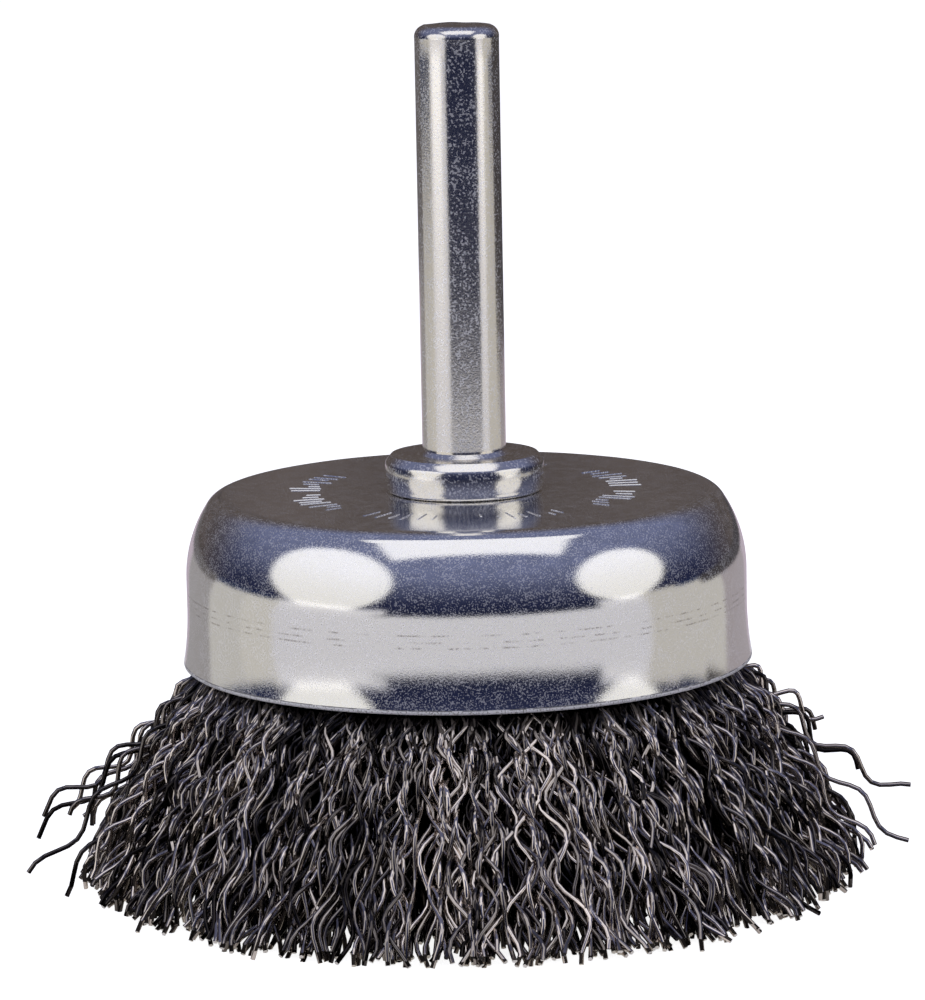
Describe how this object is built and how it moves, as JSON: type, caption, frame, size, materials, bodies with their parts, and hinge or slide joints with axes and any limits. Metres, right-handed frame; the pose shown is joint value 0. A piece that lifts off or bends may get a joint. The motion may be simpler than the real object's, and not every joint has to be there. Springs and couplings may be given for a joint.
{
  "type": "wire cup brush",
  "caption": "Round shank with a pressed steel cup that holds a flared trim of crimped steel wires, for a drill or die grinder.",
  "frame": {"origin": "centre of the working face, the plane that the wire tips are trimmed to, on the shank's axis", "axes": "+Z along the shank's axis, from the wire tips towards the free end of the shank"},
  "size_m": [0.0626, 0.0626, 0.0608],
  "materials": {
    "spindle_plating": "zinc plated turned steel",
    "cup_plating": "zinc plated pressed sheet",
    "inner_cup_plating": "zinc plated pressed sheet",
    "ring_steel": "bare drawn wire",
    "wire_steel": "bare crimped steel wire, lightly oiled"
  },
  "bodies": {
    "root": {"spindle": "spindle_plating", "outer_cup": "cup_plating", "inner_cup": "inner_cup_plating", "retaining_ring": "ring_steel", "wire_tuft_01": "wire_steel", "wire_tuft_02": "wire_steel", "wire_tuft_03": "wire_steel", "wire_tuft_04": "wire_steel", "wire_tuft_05": "wire_steel", "wire_tuft_06": "wire_steel", "wire_tuft_07": "wire_steel", "wire_tuft_08": "wire_steel", "wire_tuft_09": "wire_steel", "wire_tuft_10": "wire_steel", "wire_tuft_11": "wire_steel", "wire_tuft_12": "wire_steel", "wire_tuft_13": "wire_steel", "wire_tuft_14": "wire_steel", "wire_tuft_15": "wire_steel", "wire_tuft_16": "wire_steel", "wire_tuft_17": "wire_steel", "wire_tuft_18": "wire_steel", "wire_tuft_19": "wire_steel", "wire_tuft_20": "wire_steel", "wire_tuft_21": "wire_steel", "wire_tuft_22": "wire_steel", "wire_tuft_23": "wire_steel", "wire_tuft_24": "wire_steel"}
  },
  "joints": []
}
